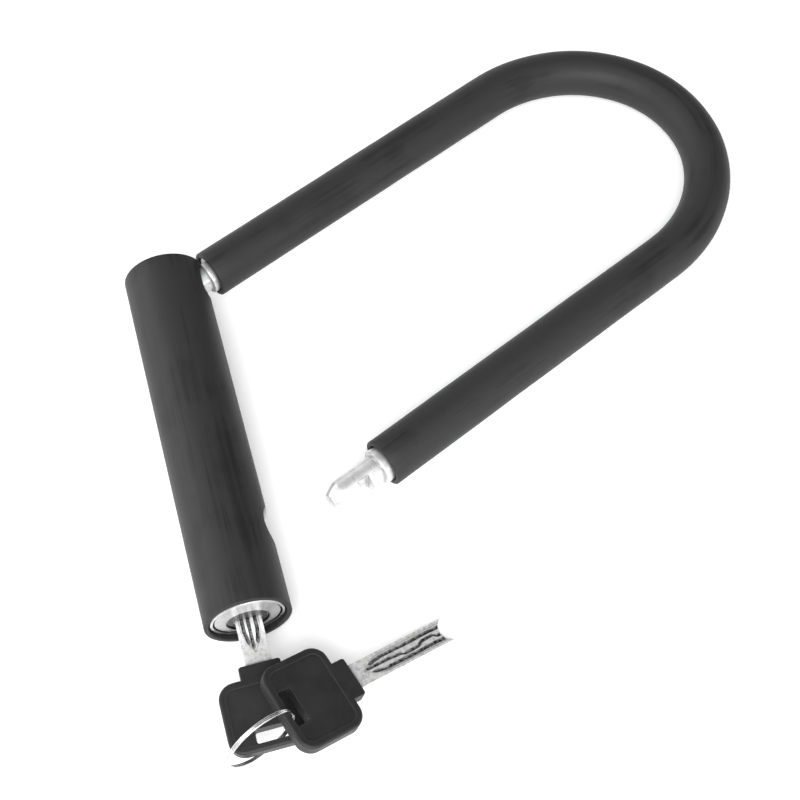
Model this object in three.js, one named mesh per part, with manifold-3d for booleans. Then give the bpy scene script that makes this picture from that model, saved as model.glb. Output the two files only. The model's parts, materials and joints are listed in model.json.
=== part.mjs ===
// A U lock lying open on a surface, with one key in its cylinder and a spare key on the same ring.
// Millimetres, +Z up. +X runs along the crossbar towards the keyhole; the shackle lies towards +Y.

import * as THREE from "three";
import { mergeVertices } from "three/addons/utils/BufferGeometryUtils.js";
import Module from "manifold-3d";

const wasm = await Module();
wasm.setup();

// ---------------------------------------------------------------- driving dimensions

const GAP = 0.3; // running clearance between neighbours

// Crossbar, on its own axis: x along the bar, y towards the shackle, z up.
const BAR_LENGTH = 142;
const END_SKEW = 1.1; // the cover's open end is cut askew, shorter on top
const COVER_RADIUS = 15;
const COVER_EDGE = 0.8;
const COVER_LIP = 0.5;
const TUBE_RADIUS = 13;
const TUBE_WALL = 1.1;
const TUBE_START = 0.9;
const TUBE_END = 141;
const CAP_END = 2.4;
const CAP_EDGE = 0.5;
const INSERT_RADIUS = TUBE_RADIUS - TUBE_WALL - GAP;

// Holes for the shackle's two legs, in the cover and in the tube under it.
const TIP_HOLE_RADIUS = 7.2;
const FOOT_HOLE = { x: 8.1, width: 14.2, height: 14, corner: 4 };
const FOOT_SLOT = { x0: 2.3, x1: 14.2, half: 5.5 };

// Shackle, in its own plane: "along" runs up the legs from the crossbar's axis, with the lock shut.
const LEG_1_X = 8;
const LEG_SPACING = 103.1;
const LEG_2_X = LEG_1_X + LEG_SPACING;
const SLEEVE_RADIUS = 9.05;
const ROD_RADIUS = 6.75;
const TIP_RADIUS = 5.2;
const TIP_END_RADIUS = 3;
const TIP_END = -7.45;
const TIP_CONE = 4.6;
const NOTCH_FLOOR = 1.95; // from the leg's axis to the flat of its notch
const NOTCH_START = 3.35;
const NOTCH_END = 7.85;
const SHOULDER_1 = 14.15;
const SHOULDER_2 = 13.35;
const SLEEVE_START = 16.05;
const STRAIGHT_END = 156.4;
const BEND_HALF_WIDTH = LEG_SPACING / 2;
const BEND_HEIGHT = 56.8;
const OPEN_ANGLE = THREE.MathUtils.degToRad(23.92);
const LEAN_ANGLE = THREE.MathUtils.degToRad(1.54); // the whole lock leans until the bend rests too

// The fixed pin that the first leg's notch turns on.
const FOOT_PIN_X = 4.3;
const FOOT_PIN_Y = 5.4;
const FOOT_PIN_RADIUS = 1.5;
const FOOT_PIN_LENGTH = 22.2;

// Pins that hold the bolt guide and the cylinder housing in the tube.
const RETAINER_X = [104, 134];
const RETAINER_RADIUS = 1.2;
const RETAINER_Y = { head: -12.6, end: -8.4 };

// Lock cylinder. The plug's axis lies below the bar's.
const HOUSING_START = 120.1;
const HOUSING_END = 140.7;
const PLUG_DROP = 2.6;
const PLUG_RADIUS = 6.9;
const PLUG_START = 127.4;
const PLUG_END = 140.2;
const TAIL_RADIUS = 5.8;
const TAIL_START = 120.4;
const CAM_CHAMBER_RADIUS = 8.15;
const KEYWAY = { width: 9.5, height: 2.9 };

// Pin stacks.
const PIN_COUNT = 5;
const FIRST_PIN_X = 129.6;
const PIN_PITCH = 2.2;
const PIN_RADIUS = 0.8;
const CHAMBER_RADIUS = 1;
const DRIVER_LENGTH = 2.6;
const PIN_SPRING = { radius: 0.6, wire: 0.15, turns: 5 };

// Bolt, drawn back from the shackle: a nose, a bar above the cam, and an arm that the cam pushes.
const BOLT_TRAVEL = 3.3;
const BOLT_Y = { low: 3.7, high: 7.5 };
const BOLT_NOSE = { x0: 116.7, x1: 120, z0: 1 };
const BOLT_BAR = { x1: 128.2, z0: 4.9, z1: 8 };
const BOLT_ARM = { x0: 125.3, x1: 127, y1: 5.7, z0: 2.3 };
const BOLT_SPRING = { y: 5.6, z: 6.4, x0: 128.5, x1: 136.6, radius: 0.95, wire: 0.25, turns: 8 };
const SPRING_POCKET_RADIUS = 1.5;

// Cam: a ring on the plug's tail, with a ramp that rises as the plug turns a quarter.
const CAM = { inner: 6.1, outer: 7.8, x0: 120.7, x1: 121.7 };
const RAMP_HIGH_ANGLE = THREE.MathUtils.degToRad(61.7);
const RAMP_TURN = Math.PI / 2;
const CAM_SCREW = { x: 122.8, radius: 0.7, angle: THREE.MathUtils.degToRad(46) };

// Bolt guide, the block that the second tip drops into.
const GUIDE_START = 102.5;
const GUIDE_END = 119.8;
const TIP_BORE_RADIUS = 6;
const TIP_BORE_FLOOR = -8.3;
const BLADE_RECESS_START = 115.5; // room for the key's tip, open to the tip's bore
const BLADE_RECESS_RADIUS = 5.2;

// Keys: x = 0 where the blade leaves the collar, the head towards +x.
const KEY_ROOT_X = 156.4;
const BLADE = { length: 39.6, width: 9, thickness: 2.3, tang: 10, tangWidth: 7, bite: 1.2 };
const BLADE_GROOVE = { width: 2.2, depth: 0.55, start: 5, sidePitch: 3.1, sideWidth: 1 };
const COLLAR = { length: 4.4, width: 14.2, thickness: 5 };
const HEAD = { length: 24.3, width: 31, thickness: 5.2, corner: 5.5, bevel: 1 };
const HEAD_PANEL = { border: 2.4, depth: 0.35 };
const HEAD_SLOT = { fromEnd: 2.4, length: 4.8, width: 12.8 };
const SPARE_END = new THREE.Vector3(178.36, 2.63, 22.57); // middle of the spare head's outer end
const SPARE_TURN = new THREE.Euler(
  THREE.MathUtils.degToRad(-0.93),
  THREE.MathUtils.degToRad(-18.22),
  THREE.MathUtils.degToRad(-72.23),
  "ZYX",
);

// Split ring.
const RING = { radius: 12.62, width: 2.1, thickness: 1 };
const RING_CENTRE = new THREE.Vector3(183.43, -4.89, 20.91);
const RING_AZIMUTH = THREE.MathUtils.degToRad(22.57);
const RING_ELEVATION = THREE.MathUtils.degToRad(2.56);

// ---------------------------------------------------------------- materials

const vinyl = new THREE.MeshStandardMaterial({ color: 0x2b2b2c, roughness: 0.5, metalness: 0 });
const chrome = new THREE.MeshStandardMaterial({ color: 0xe3e4e6, roughness: 0.15, metalness: 1 });
const steel = new THREE.MeshStandardMaterial({ color: 0xb9babd, roughness: 0.35, metalness: 1 });
const zinc = new THREE.MeshStandardMaterial({ color: 0xc4c5c7, roughness: 0.45, metalness: 1 });
const brass = new THREE.MeshStandardMaterial({ color: 0xb9964a, roughness: 0.35, metalness: 1 });
const nickel = new THREE.MeshStandardMaterial({ color: 0xd2d0cb, roughness: 0.25, metalness: 1 });
const plastic = new THREE.MeshStandardMaterial({ color: 0x1d1d1e, roughness: 0.55, metalness: 0 });

// ---------------------------------------------------------------- solids

function toSolid(geometry) {
  const bare = geometry.clone();
  bare.deleteAttribute("normal");
  bare.deleteAttribute("uv");
  const merged = mergeVertices(bare, 1e-4);
  return new wasm.Manifold(
    new wasm.Mesh({
      numProp: 3,
      vertProperties: new Float32Array(merged.attributes.position.array),
      triVerts: new Uint32Array(merged.index.array),
    }),
  );
}

function toGeometry(solid) {
  const { vertProperties, triVerts } = solid.getMesh();
  const geometry = new THREE.BufferGeometry();
  geometry.setAttribute("position", new THREE.BufferAttribute(vertProperties, 3));
  geometry.setIndex(new THREE.BufferAttribute(triVerts, 1));
  geometry.computeVertexNormals();
  return geometry;
}

function cut(body, ...tools) {
  return tools.reduce((left, tool) => left.subtract(tool), body);
}

function join(body, ...others) {
  return others.reduce((left, other) => left.add(other), body);
}

function piece(name, solid, material) {
  const mesh = new THREE.Mesh(toGeometry(solid), material);
  mesh.name = name;
  return mesh;
}

// A box between two corners.
function block(x0, x1, y0, y1, z0, z1) {
  const box = new THREE.BoxGeometry(x1 - x0, y1 - y0, z1 - z0);
  box.translate((x0 + x1) / 2, (y0 + y1) / 2, (z0 + z1) / 2);
  return toSolid(box);
}

// A round bar from one point to another.
function rod(from, to, radius, sides = 20) {
  const start = new THREE.Vector3(...from);
  const run = new THREE.Vector3(...to).sub(start);
  const length = run.length();
  const bar = new THREE.CylinderGeometry(radius, radius, length, sides);
  bar.translate(0, length / 2, 0);
  bar.applyQuaternion(
    new THREE.Quaternion().setFromUnitVectors(new THREE.Vector3(0, 1, 0), run.normalize()),
  );
  bar.translate(start.x, start.y, start.z);
  return toSolid(bar);
}

// A body turned about the x axis, from a profile of [x, radius] points.
function turned(profile, sides = 40) {
  const points = profile.map(([x, radius]) => new THREE.Vector2(radius, x));
  const body = new THREE.LatheGeometry(points, sides);
  body.rotateZ(-Math.PI / 2);
  return toSolid(body);
}

// A pipe about the x axis with broken outer edges.
function pipe(x0, x1, inner, outer, edge, sides = 40) {
  return turned(
    [
      [x0, inner],
      [x0, outer - edge],
      [x0 + edge, outer],
      [x1 - edge, outer],
      [x1, outer - edge],
      [x1, inner],
      [x0, inner],
    ],
    sides,
  );
}

function circle(radius, sides) {
  const shape = new THREE.Shape();
  for (let i = 0; i < sides; i += 1) {
    const angle = (2 * Math.PI * i) / sides;
    const x = radius * Math.cos(angle);
    const y = radius * Math.sin(angle);
    if (i === 0) shape.moveTo(x, y);
    else shape.lineTo(x, y);
  }
  shape.closePath();
  return shape;
}

// A rectangle with round corners, centred on the origin.
function roundedRectangle(width, height, corner) {
  const shape = new THREE.Shape();
  const x = width / 2 - corner;
  const y = height / 2 - corner;
  shape.absarc(x, y, corner, 0, Math.PI / 2);
  shape.absarc(-x, y, corner, Math.PI / 2, Math.PI);
  shape.absarc(-x, -y, corner, Math.PI, 1.5 * Math.PI);
  shape.absarc(x, -y, corner, 1.5 * Math.PI, 2 * Math.PI);
  shape.closePath();
  return shape;
}

// ---------------------------------------------------------------- springs

class Helix extends THREE.Curve {
  constructor(radius, turns, length) {
    super();
    Object.assign(this, { radius, turns, length });
  }

  getPoint(t, target = new THREE.Vector3()) {
    const angle = 2 * Math.PI * this.turns * t;
    return target.set(
      this.radius * Math.cos(angle),
      this.radius * Math.sin(angle),
      this.length * t,
    );
  }
}

// A compression spring that stands on z = 0.
function spring(radius, wire, turns, length) {
  const path = new Helix(radius, turns, length);
  return new THREE.ExtrudeGeometry(circle(wire, 5), {
    extrudePath: path,
    steps: Math.round(turns * 9),
    curveSegments: 1,
  });
}

// ---------------------------------------------------------------- crossbar

function makeCover() {
  const reach = COVER_RADIUS + 1;
  const inner = TUBE_RADIUS + GAP;
  const tube = turned(
    [
      [COVER_LIP, inner],
      [0, inner + COVER_LIP],
      [0, COVER_RADIUS - COVER_EDGE],
      [COVER_EDGE, COVER_RADIUS],
      [BAR_LENGTH - COVER_EDGE, COVER_RADIUS],
      [BAR_LENGTH, COVER_RADIUS - COVER_EDGE],
      [BAR_LENGTH, inner + COVER_LIP],
      [BAR_LENGTH - COVER_LIP, inner],
      [COVER_LIP, inner],
    ],
    48,
  ).warp((point) => {
    if (point[0] > BAR_LENGTH - 1) point[0] -= (END_SKEW * point[2]) / COVER_RADIUS;
  });
  const low = TUBE_RADIUS - 5;
  const tipHole = rod([LEG_2_X, low, 0], [LEG_2_X, reach, 0], TIP_HOLE_RADIUS, 28);
  const { width, height, corner } = FOOT_HOLE;
  const footHole = new THREE.ExtrudeGeometry(roundedRectangle(width, height, corner), {
    depth: reach - low,
    bevelEnabled: false,
    curveSegments: 5,
  });
  footHole.rotateX(-Math.PI / 2);
  footHole.translate(FOOT_HOLE.x, low, 0);
  return cut(tube, tipHole, toSolid(footHole));
}

function makeTube() {
  const reach = TUBE_RADIUS + 1;
  const low = TUBE_RADIUS - 6;
  return cut(
    pipe(TUBE_START, TUBE_END, TUBE_RADIUS - TUBE_WALL, TUBE_RADIUS, 0.25, 48),
    rod([LEG_2_X, low, 0], [LEG_2_X, reach, 0], TIP_BORE_RADIUS, 28),
    block(FOOT_SLOT.x0, FOOT_SLOT.x1, low, reach, -FOOT_SLOT.half, FOOT_SLOT.half),
    rod([FOOT_PIN_X, FOOT_PIN_Y, -reach], [FOOT_PIN_X, FOOT_PIN_Y, reach], FOOT_PIN_RADIUS + GAP, 14),
    ...RETAINER_X.map(retainerHole),
  );
}

function makeRetainer(x) {
  const { head, end } = RETAINER_Y;
  return rod([x, head, -PLUG_DROP], [x, end, -PLUG_DROP], RETAINER_RADIUS, 14);
}

// The hole that a retaining pin stands in, through the tube and into the block behind it.
function retainerHole(x) {
  const { head, end } = RETAINER_Y;
  const radius = RETAINER_RADIUS + GAP;
  return rod([x, head - 1.4, -PLUG_DROP], [x, end + 0.4, -PLUG_DROP], radius, 14);
}

function makeEndCap() {
  return turned([
    [TUBE_START, 0],
    [TUBE_START, INSERT_RADIUS - CAP_EDGE],
    [TUBE_START + CAP_EDGE, INSERT_RADIUS],
    [CAP_END, INSERT_RADIUS],
    [CAP_END, 0],
  ]);
}

function makeFootPin() {
  const half = FOOT_PIN_LENGTH / 2;
  return rod([FOOT_PIN_X, FOOT_PIN_Y, -half], [FOOT_PIN_X, FOOT_PIN_Y, half], FOOT_PIN_RADIUS, 18);
}

// The channel that the bolt slides in, wider than the bolt by the running clearance.
function boltChannel(x0, x1, z0) {
  return block(x0, x1, BOLT_Y.low - GAP, BOLT_Y.high + GAP, z0 - GAP, BOLT_BAR.z1 + GAP);
}

function makeBoltGuide() {
  return cut(
    rod([GUIDE_START, 0, 0], [GUIDE_END, 0, 0], INSERT_RADIUS, 40),
    rod([LEG_2_X, TIP_BORE_FLOOR, 0], [LEG_2_X, 14, 0], TIP_BORE_RADIUS, 28),
    boltChannel(LEG_2_X, GUIDE_END + 1, BOLT_NOSE.z0),
    rod(plugAxis(BLADE_RECESS_START), plugAxis(GUIDE_END + 1), BLADE_RECESS_RADIUS, 28),
    retainerHole(RETAINER_X[0]),
  );
}

// ---------------------------------------------------------------- lock cylinder

function plugAxis(x) {
  return [x, 0, -PLUG_DROP];
}

function pinX(index) {
  return FIRST_PIN_X + index * PIN_PITCH;
}

function pinNumbers() {
  return Array.from({ length: PIN_COUNT }, (_, index) => index);
}

function makeHousing() {
  const body = turned([
    [HOUSING_START, 0],
    [HOUSING_START, INSERT_RADIUS],
    [HOUSING_END - 0.4, INSERT_RADIUS],
    [HOUSING_END, INSERT_RADIUS - 0.4],
    [HOUSING_END, 0],
  ]);
  const chambers = pinNumbers().map((index) =>
    rod([pinX(index), 0, 2], [pinX(index), 0, TUBE_RADIUS], CHAMBER_RADIUS, 14),
  );
  const { x0, x1, y, z } = BOLT_SPRING;
  return cut(
    body,
    rod(plugAxis(PLUG_START - 1), plugAxis(HOUSING_END + 1), PLUG_RADIUS + 0.25, 36),
    rod(plugAxis(HOUSING_START - 1), plugAxis(PLUG_START - 0.1), CAM_CHAMBER_RADIUS, 36),
    boltChannel(HOUSING_START - 1, PLUG_START - 0.1, BOLT_ARM.z0),
    boltChannel(HOUSING_START - 1, BOLT_BAR.x1 + 0.8, BOLT_BAR.z0),
    rod([x0 - 0.5, y, z], [x1 + 0.4, y, z], SPRING_POCKET_RADIUS, 14),
    retainerHole(RETAINER_X[1]),
    ...chambers,
  );
}

function radial(radius, angle, x) {
  return [x, radius * Math.cos(angle), radius * Math.sin(angle) - PLUG_DROP];
}

function makePlug() {
  const { x, radius, angle } = CAM_SCREW;
  const chambers = pinNumbers().map((index) =>
    rod([pinX(index), 0, -PLUG_DROP], [pinX(index), 0, 6], CHAMBER_RADIUS, 14),
  );
  return cut(
    join(
      rod(plugAxis(PLUG_START), plugAxis(PLUG_END), PLUG_RADIUS, 36),
      rod(plugAxis(TAIL_START), plugAxis(PLUG_START + 1), TAIL_RADIUS, 32),
    ),
    block(
      TAIL_START - 1,
      PLUG_END + 1,
      -KEYWAY.width / 2,
      KEYWAY.width / 2,
      -PLUG_DROP - KEYWAY.height / 2,
      -PLUG_DROP + KEYWAY.height / 2,
    ),
    rod(radial(5.15, angle, x), radial(7, angle, x), radius + 0.2, 12),
    ...chambers,
  );
}

// The ramp starts as a plain bar, unrolled, and is wrapped round the plug's axis.
function makeRamp() {
  const foot = CAM.x0 + 0.3;
  const wedge = new THREE.BoxGeometry(1, 1, CAM.outer - CAM.inner - 0.4, 14, 1, 1);
  const position = wedge.attributes.position;
  for (let i = 0; i < position.count; i += 1) {
    const share = position.getX(i) + 0.5;
    const angle = RAMP_HIGH_ANGLE - RAMP_TURN * (1 - share);
    const radius = (CAM.inner + CAM.outer) / 2 + position.getZ(i);
    const x = position.getY(i) > 0 ? CAM.x1 + BOLT_TRAVEL * share : foot;
    position.setXYZ(i, ...radial(radius, angle, x));
  }
  return toSolid(wedge);
}

function makeCam() {
  const { x, radius, angle } = CAM_SCREW;
  const ring = cut(
    rod(plugAxis(CAM.x0), plugAxis(CAM.x1), CAM.outer, 40),
    rod(plugAxis(CAM.x0 - 1), plugAxis(CAM.x1 + 1), CAM.inner, 40),
  );
  return cut(join(ring, makeRamp()), rod(radial(5, angle, x), radial(9, angle, x), radius + 0.2, 12));
}

function makeCamScrew() {
  const { x, radius, angle } = CAM_SCREW;
  return rod(radial(5.35, angle, x), radial(7.6, angle, x), radius, 12);
}

function makeBolt() {
  const { low, high } = BOLT_Y;
  const nose = block(BOLT_NOSE.x0, BOLT_NOSE.x1, low, high, BOLT_NOSE.z0, BOLT_BAR.z1);
  const bar = block(BOLT_NOSE.x1 - 0.5, BOLT_BAR.x1, low, high, BOLT_BAR.z0, BOLT_BAR.z1);
  const arm = block(BOLT_ARM.x0, BOLT_ARM.x1, low, BOLT_ARM.y1, BOLT_ARM.z0, BOLT_BAR.z0 + 0.5);
  return join(nose, bar, arm);
}

function makeBoltSpring() {
  const { y, z, x0, x1, radius, wire, turns } = BOLT_SPRING;
  const coil = spring(radius, wire, turns, x1 - x0 - 2 * wire);
  coil.rotateY(Math.PI / 2);
  coil.translate(x0 + wire, y, z);
  return toSolid(coil);
}

// One stack: the key pin rides in the blade's groove, the driver waits above the plug.
function makePinStack(index) {
  const x = pinX(index);
  const grooveFloor = -PLUG_DROP + BLADE.thickness / 2 - BLADE_GROOVE.depth;
  const shear = -PLUG_DROP + PLUG_RADIUS;
  const driverFoot = shear + 0.35;
  const driverTop = driverFoot + DRIVER_LENGTH;
  const { radius, wire, turns } = PIN_SPRING;
  const coil = spring(radius, wire, turns, INSERT_RADIUS - driverTop - 0.9);
  coil.translate(x, 0, driverTop + 0.5);
  const keyPin = rod([x, 0, grooveFloor + GAP], [x, 0, shear - 0.1], PIN_RADIUS, 12);
  const driverPin = rod([x, 0, driverFoot], [x, 0, driverTop], PIN_RADIUS, 12);
  return [
    piece(`key_pin_${index + 1}`, keyPin, brass),
    piece(`driver_pin_${index + 1}`, driverPin, steel),
    piece(`pin_spring_${index + 1}`, toSolid(coil), steel),
  ];
}

// ---------------------------------------------------------------- shackle

class HalfEllipse extends THREE.Curve {
  getPoint(t, target = new THREE.Vector3()) {
    return target.set(
      LEG_1_X + BEND_HALF_WIDTH * (1 - Math.cos(Math.PI * t)),
      STRAIGHT_END + BEND_HEIGHT * Math.sin(Math.PI * t),
      0,
    );
  }
}

function shacklePath(start1, start2) {
  const path = new THREE.CurvePath();
  path.add(
    new THREE.LineCurve3(
      new THREE.Vector3(LEG_1_X, start1, 0),
      new THREE.Vector3(LEG_1_X, STRAIGHT_END, 0),
    ),
  );
  path.add(new HalfEllipse());
  path.add(
    new THREE.LineCurve3(
      new THREE.Vector3(LEG_2_X, STRAIGHT_END, 0),
      new THREE.Vector3(LEG_2_X, start2, 0),
    ),
  );
  return path;
}

function alongShackle(section, start1, start2) {
  return toSolid(
    new THREE.ExtrudeGeometry(section, {
      extrudePath: shacklePath(start1, start2),
      steps: 60,
      curveSegments: 1,
    }),
  );
}

// A shackle end, turned down from the rod, with a short cone.
function makeTip(x, shoulder) {
  const profile = [
    [0, TIP_END],
    [TIP_END_RADIUS, TIP_END],
    [TIP_RADIUS, TIP_END + TIP_CONE],
    [TIP_RADIUS, shoulder + 1],
    [0, shoulder + 1],
  ].map(([radius, along]) => new THREE.Vector2(radius, along));
  const tip = new THREE.LatheGeometry(profile, 28);
  tip.translate(x, 0, 0);
  return toSolid(tip);
}

function makeShackleRod() {
  const reach = 9;
  const footNotch = block(
    LEG_1_X - reach, LEG_1_X - NOTCH_FLOOR, NOTCH_START, SLEEVE_START + 1, -reach, reach,
  );
  const boltNotch = block(
    LEG_2_X + NOTCH_FLOOR, LEG_2_X + reach, NOTCH_START, NOTCH_END, -reach, reach,
  );
  const bar = alongShackle(circle(ROD_RADIUS, 20), SHOULDER_1, SHOULDER_2);
  return cut(
    join(bar, makeTip(LEG_1_X, SHOULDER_1), makeTip(LEG_2_X, SHOULDER_2)),
    footNotch,
    boltNotch,
  );
}

function makeSleeve() {
  const section = circle(SLEEVE_RADIUS, 28);
  section.holes.push(circle(ROD_RADIUS + GAP + 0.1, 18));
  return alongShackle(section, SLEEVE_START, SLEEVE_START);
}

// ---------------------------------------------------------------- keys

function makeBlade() {
  const half = BLADE.width / 2;
  const top = BLADE.thickness / 2;
  const far = BLADE.length;
  const bite = Math.atan2(half, BLADE.bite);
  const outline = new THREE.Shape();
  outline.moveTo(BLADE.tang + COLLAR.length, -BLADE.tangWidth / 2);
  outline.lineTo(BLADE.tang + COLLAR.length, BLADE.tangWidth / 2);
  outline.lineTo(0, BLADE.tangWidth / 2);
  outline.lineTo(0, half);
  outline.lineTo(-far, half);
  outline.absarc(-far - BLADE.bite, 0, Math.hypot(BLADE.bite, half), bite, -bite, true);
  outline.lineTo(0, -half);
  outline.lineTo(0, -BLADE.tangWidth / 2);
  outline.closePath();
  const blank = new THREE.ExtrudeGeometry(outline, {
    depth: BLADE.thickness,
    bevelEnabled: false,
    curveSegments: 6,
  });
  blank.translate(0, 0, -top);
  const grooves = [1, -1].flatMap((side) => {
    const floor = side * (top - BLADE_GROOVE.depth);
    const low = Math.min(floor, side * (top + 1));
    const high = Math.max(floor, side * (top + 1));
    return [-1, 0, 1].map((lane) => {
      const middle = lane * BLADE_GROOVE.sidePitch;
      const width = lane === 0 ? BLADE_GROOVE.width : BLADE_GROOVE.sideWidth;
      return block(-far - 9, -BLADE_GROOVE.start, middle - width / 2, middle + width / 2, low, high);
    });
  });
  return cut(toSolid(blank), ...grooves);
}

function plate(shape, thickness, bevel) {
  const body = new THREE.ExtrudeGeometry(shape, {
    depth: thickness - 2 * bevel,
    bevelEnabled: bevel > 0,
    bevelThickness: bevel,
    bevelSize: bevel,
    bevelOffset: -bevel,
    bevelSegments: 2,
    curveSegments: 4,
  });
  body.translate(0, 0, bevel - thickness / 2);
  return body;
}

function makeKeyHead() {
  const centre = COLLAR.length + HEAD.length / 2;
  const end = COLLAR.length + HEAD.length;
  const head = plate(
    roundedRectangle(HEAD.length, HEAD.width, HEAD.corner), HEAD.thickness, HEAD.bevel,
  );
  head.translate(centre, 0, 0);
  const collar = plate(roundedRectangle(COLLAR.length + 4, COLLAR.width, 1), COLLAR.thickness, 0.5);
  collar.translate((COLLAR.length + 4) / 2, 0, 0);
  const slotMiddle = end - HEAD_SLOT.fromEnd - HEAD_SLOT.length / 2;
  const slot = plate(roundedRectangle(HEAD_SLOT.length, HEAD_SLOT.width, 0.5), HEAD.thickness + 2, 0);
  slot.translate(slotMiddle, 0, 0);
  const { border, depth } = HEAD_PANEL;
  const panels = [1, -1].map((side) => {
    const panel = plate(
      roundedRectangle(HEAD.length - 2 * border, HEAD.width - 2 * border, HEAD.corner - border),
      2 * depth,
      0,
    );
    panel.translate(centre, 0, (side * HEAD.thickness) / 2);
    return toSolid(panel);
  });
  const socket = block(
    -1,
    BLADE.tang + COLLAR.length + GAP,
    -BLADE.tangWidth / 2 - GAP,
    BLADE.tangWidth / 2 + GAP,
    -BLADE.thickness / 2 - GAP,
    BLADE.thickness / 2 + GAP,
  );
  return cut(join(toSolid(head), toSolid(collar)), toSolid(slot), socket, ...panels);
}

// One key as a group, standing clear of its blade by the running clearance.
function makeKey(prefix) {
  const key = new THREE.Group();
  const blade = piece(`${prefix}_blade`, makeBlade(), nickel);
  const head = piece(`${prefix}_head`, makeKeyHead(), plastic);
  head.position.x = GAP;
  key.add(blade, head);
  return key;
}

function makeRing() {
  const half = RING.width / 2;
  const inner = RING.radius - RING.thickness / 2;
  const outer = RING.radius + RING.thickness / 2;
  const edge = 0.25;
  return turned(
    [
      [-half, inner + edge],
      [-half, outer - edge],
      [-half + edge, outer],
      [half - edge, outer],
      [half, outer - edge],
      [half, inner + edge],
      [half - edge, inner],
      [-half + edge, inner],
      [-half, inner + edge],
    ],
    44,
  );
}

// ---------------------------------------------------------------- assembly

function makeShackle() {
  const shackle = new THREE.Group();
  shackle.add(
    piece("shackle_rod", makeShackleRod(), chrome),
    piece("shackle_sleeve", makeSleeve(), vinyl),
  );
  shackle.position.set(-FOOT_PIN_X, -FOOT_PIN_Y, 0);
  const turn = new THREE.Group();
  turn.add(shackle);
  turn.position.set(FOOT_PIN_X, FOOT_PIN_Y, 0);
  turn.rotation.z = OPEN_ANGLE;
  return turn;
}

function makeLock() {
  const lock = new THREE.Group();
  lock.add(
    piece("crossbar_cover", makeCover(), vinyl),
    piece("crossbar_tube", makeTube(), steel),
    piece("end_cap", makeEndCap(), steel),
    piece("foot_pin", makeFootPin(), steel),
    piece("bolt_guide", makeBoltGuide(), zinc),
    piece("guide_pin", makeRetainer(RETAINER_X[0]), steel),
    piece("cylinder_housing", makeHousing(), zinc),
    piece("housing_pin", makeRetainer(RETAINER_X[1]), steel),
    piece("plug", makePlug(), zinc),
    piece("cam", makeCam(), steel),
    piece("cam_screw", makeCamScrew(), steel),
    piece("bolt", makeBolt(), steel),
    piece("bolt_spring", makeBoltSpring(), steel),
    ...pinNumbers().flatMap(makePinStack),
    makeShackle(),
  );
  const key = makeKey("key");
  key.position.set(...plugAxis(KEY_ROOT_X));
  lock.add(key);
  lock.position.z = COVER_RADIUS;
  lock.rotation.x = -LEAN_ANGLE;
  return lock;
}

function makeSpareKey() {
  const spare = makeKey("spare_key");
  const end = new THREE.Vector3(COLLAR.length + HEAD.length, 0, 0).applyEuler(SPARE_TURN);
  spare.rotation.copy(SPARE_TURN);
  spare.position.copy(SPARE_END).sub(end);
  return spare;
}

function makeKeyRing() {
  const ring = piece("key_ring", makeRing(), chrome);
  ring.rotation.set(0, -RING_ELEVATION, RING_AZIMUTH, "ZYX");
  ring.position.copy(RING_CENTRE);
  return ring;
}

// The origin is the middle of the assembly's box, on the surface that it rests on.
function settled(...pieces) {
  const lock = new THREE.Group();
  lock.add(...pieces);
  const assembly = new THREE.Group();
  assembly.add(lock);
  assembly.updateMatrixWorld(true);
  const box = new THREE.Box3().setFromObject(assembly, true);
  const middle = box.getCenter(new THREE.Vector3());
  lock.position.set(-middle.x, -middle.y, -box.min.z);
  return assembly;
}

export default settled(makeLock(), makeSpareKey(), makeKeyRing());
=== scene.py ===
"""Looks of an open U lock, with one key in its cylinder and a spare key on the same split ring.

Metres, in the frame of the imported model: +Z up, +X along the crossbar towards the keyhole.
"""

import json
import math

import bmesh
import bpy
from mathutils import Euler, Matrix, Vector, noise


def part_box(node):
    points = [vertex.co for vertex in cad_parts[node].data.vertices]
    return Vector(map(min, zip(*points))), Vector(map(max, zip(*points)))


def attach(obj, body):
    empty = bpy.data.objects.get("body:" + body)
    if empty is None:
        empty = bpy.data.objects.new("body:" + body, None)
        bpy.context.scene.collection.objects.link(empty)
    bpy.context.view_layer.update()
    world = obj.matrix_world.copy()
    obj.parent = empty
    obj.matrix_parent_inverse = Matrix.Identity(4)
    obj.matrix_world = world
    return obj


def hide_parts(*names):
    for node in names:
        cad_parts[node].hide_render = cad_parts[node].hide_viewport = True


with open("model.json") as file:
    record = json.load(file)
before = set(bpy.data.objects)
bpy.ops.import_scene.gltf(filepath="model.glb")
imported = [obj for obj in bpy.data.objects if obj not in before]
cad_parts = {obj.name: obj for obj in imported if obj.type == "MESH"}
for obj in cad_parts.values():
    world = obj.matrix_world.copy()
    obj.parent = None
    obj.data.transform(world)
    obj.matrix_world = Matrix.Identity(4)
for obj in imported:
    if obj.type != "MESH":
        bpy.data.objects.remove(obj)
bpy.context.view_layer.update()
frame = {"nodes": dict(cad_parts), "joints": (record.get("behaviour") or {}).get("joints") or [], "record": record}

MM = 0.001

# ---------------------------------------------------------------- driving dimensions, mm

BAR_LENGTH = 142
END_SKEW = 1.1  # the cover's open end is cut askew, shorter on top
END_SKEW_START = 130
COVER_RADIUS = 15
COVER_INNER = 13.3
COVER_RIM = 0.5
COVER_LIP = 0.35  # bevel of the cover's inner edges
COVER_DRIFT = 0.0022  # share by which the cover's radius wanders
DRIFT_ALONG = 0.05  # how tightly it wanders along the cover, per mm
DRIFT_ROUND = 2
TIP_HOLE_X = 111.1
TIP_HOLE_RADIUS = 7.2
FOOT_HOLE_X = 8.1
FOOT_HOLE_SIZE = (14.2, 14)
FOOT_HOLE_CORNER = 4

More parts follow.
